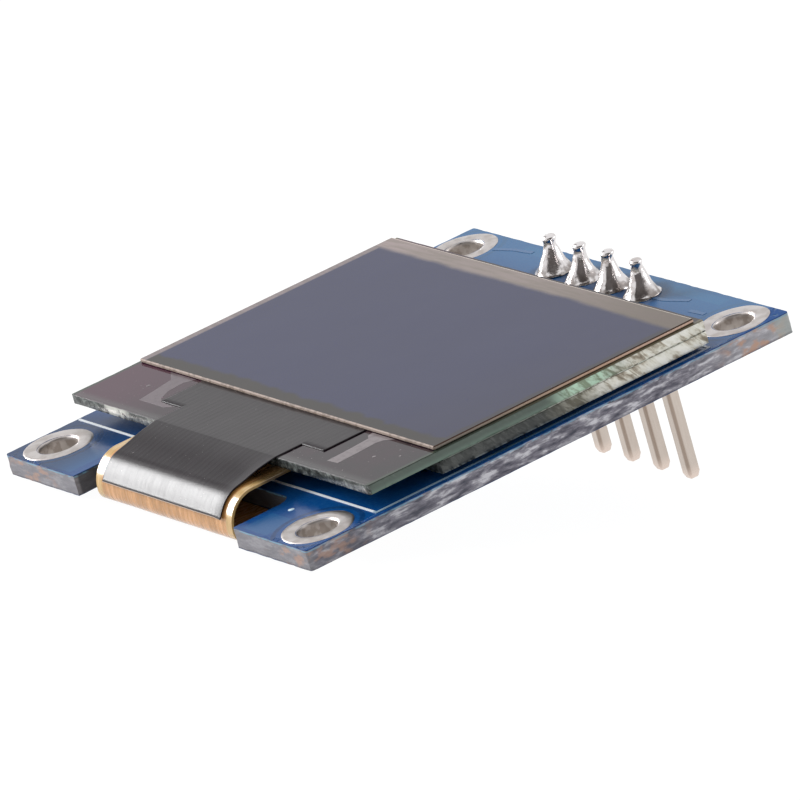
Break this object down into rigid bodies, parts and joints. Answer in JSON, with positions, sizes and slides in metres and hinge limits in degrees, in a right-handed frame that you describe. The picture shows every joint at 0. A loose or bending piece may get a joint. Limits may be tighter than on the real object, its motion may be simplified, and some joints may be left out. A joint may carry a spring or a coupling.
{
  "type": "small oled display module",
  "caption": "Small glass display panel on a blue circuit board, with a ribbon folded through a notch, corner mounting holes and a header row.",
  "frame": {"origin": "middle of the four mounting holes on the back face of the board", "axes": "+Z out of the display, square to the board; +Y towards the header row; +X along the edge with the ribbon notch, to the right when the display is read with the header row at the top"},
  "size_m": [0.0274, 0.0278, 0.0114],
  "materials": {
    "board_laminate": "glossy blue solder mask over glass-fibre laminate with bare cut edges",
    "white_ink": "matte printed ink",
    "tinned_pads": "bright uneven solder plating",
    "header_plastic": "moulded, slightly grainy",
    "pin_metal": "tin-plated, drawn, softly brushed",
    "solder": "bright, smooth and slightly rippled",
    "foam_tape": "closed-cell foam with adhesive faces",
    "rear_glass": "clear glass with scribed and broken edges",
    "getter_white": "matte sheet",
    "seal_resin": "cured resin",
    "display_film": "thin dark display layers",
    "front_glass": "polished faces with scribed edges",
    "polarizer_film": "smooth satin film, dark display area with a pale border",
    "silicon": "polished die",
    "polyimide_ribbon": "glossy amber film over copper traces",
    "shield_tape": "satin dark film with fine lines pressed through",
    "resistor_ceramic": "black glaze with tinned ends",
    "capacitor_ceramic": "tan ceramic with tinned ends",
    "regulator_epoxy": "moulded, finely grained"
  },
  "bodies": {
    "root": {"pcb": "board_laminate", "silkscreen": "white_ink", "hole_plating_1": "tinned_pads", "hole_plating_2": "tinned_pads", "hole_plating_3": "tinned_pads", "hole_plating_4": "tinned_pads", "header_body": "header_plastic", "header_pin_1": "pin_metal", "header_pin_2": "pin_metal", "header_pin_3": "pin_metal", "header_pin_4": "pin_metal", "solder_cone_1": "solder", "solder_cone_2": "solder", "solder_cone_3": "solder", "solder_cone_4": "solder", "foam_pad": "foam_tape", "rear_glass": "rear_glass", "getter_sheet": "getter_white", "edge_seal": "seal_resin", "oled_layers": "display_film", "front_glass": "front_glass", "polarizer": "polarizer_film", "driver_chip": "silicon", "ribbon": "polyimide_ribbon", "shield_tape": "shield_tape", "ribbon_joints": "solder", "resistor_1": "resistor_ceramic", "resistor_2": "resistor_ceramic", "resistor_3": "resistor_ceramic", "resistor_4": "resistor_ceramic", "resistor_5": "resistor_ceramic", "resistor_6": "resistor_ceramic", "resistor_7": "resistor_ceramic", "capacitor_1": "capacitor_ceramic", "capacitor_2": "capacitor_ceramic", "capacitor_3": "capacitor_ceramic", "capacitor_4": "capacitor_ceramic", "capacitor_5": "capacitor_ceramic", "capacitor_6": "capacitor_ceramic", "regulator_body": "regulator_epoxy", "regulator_leads": "pin_metal", "chip_joints": "solder"}
  },
  "joints": []
}
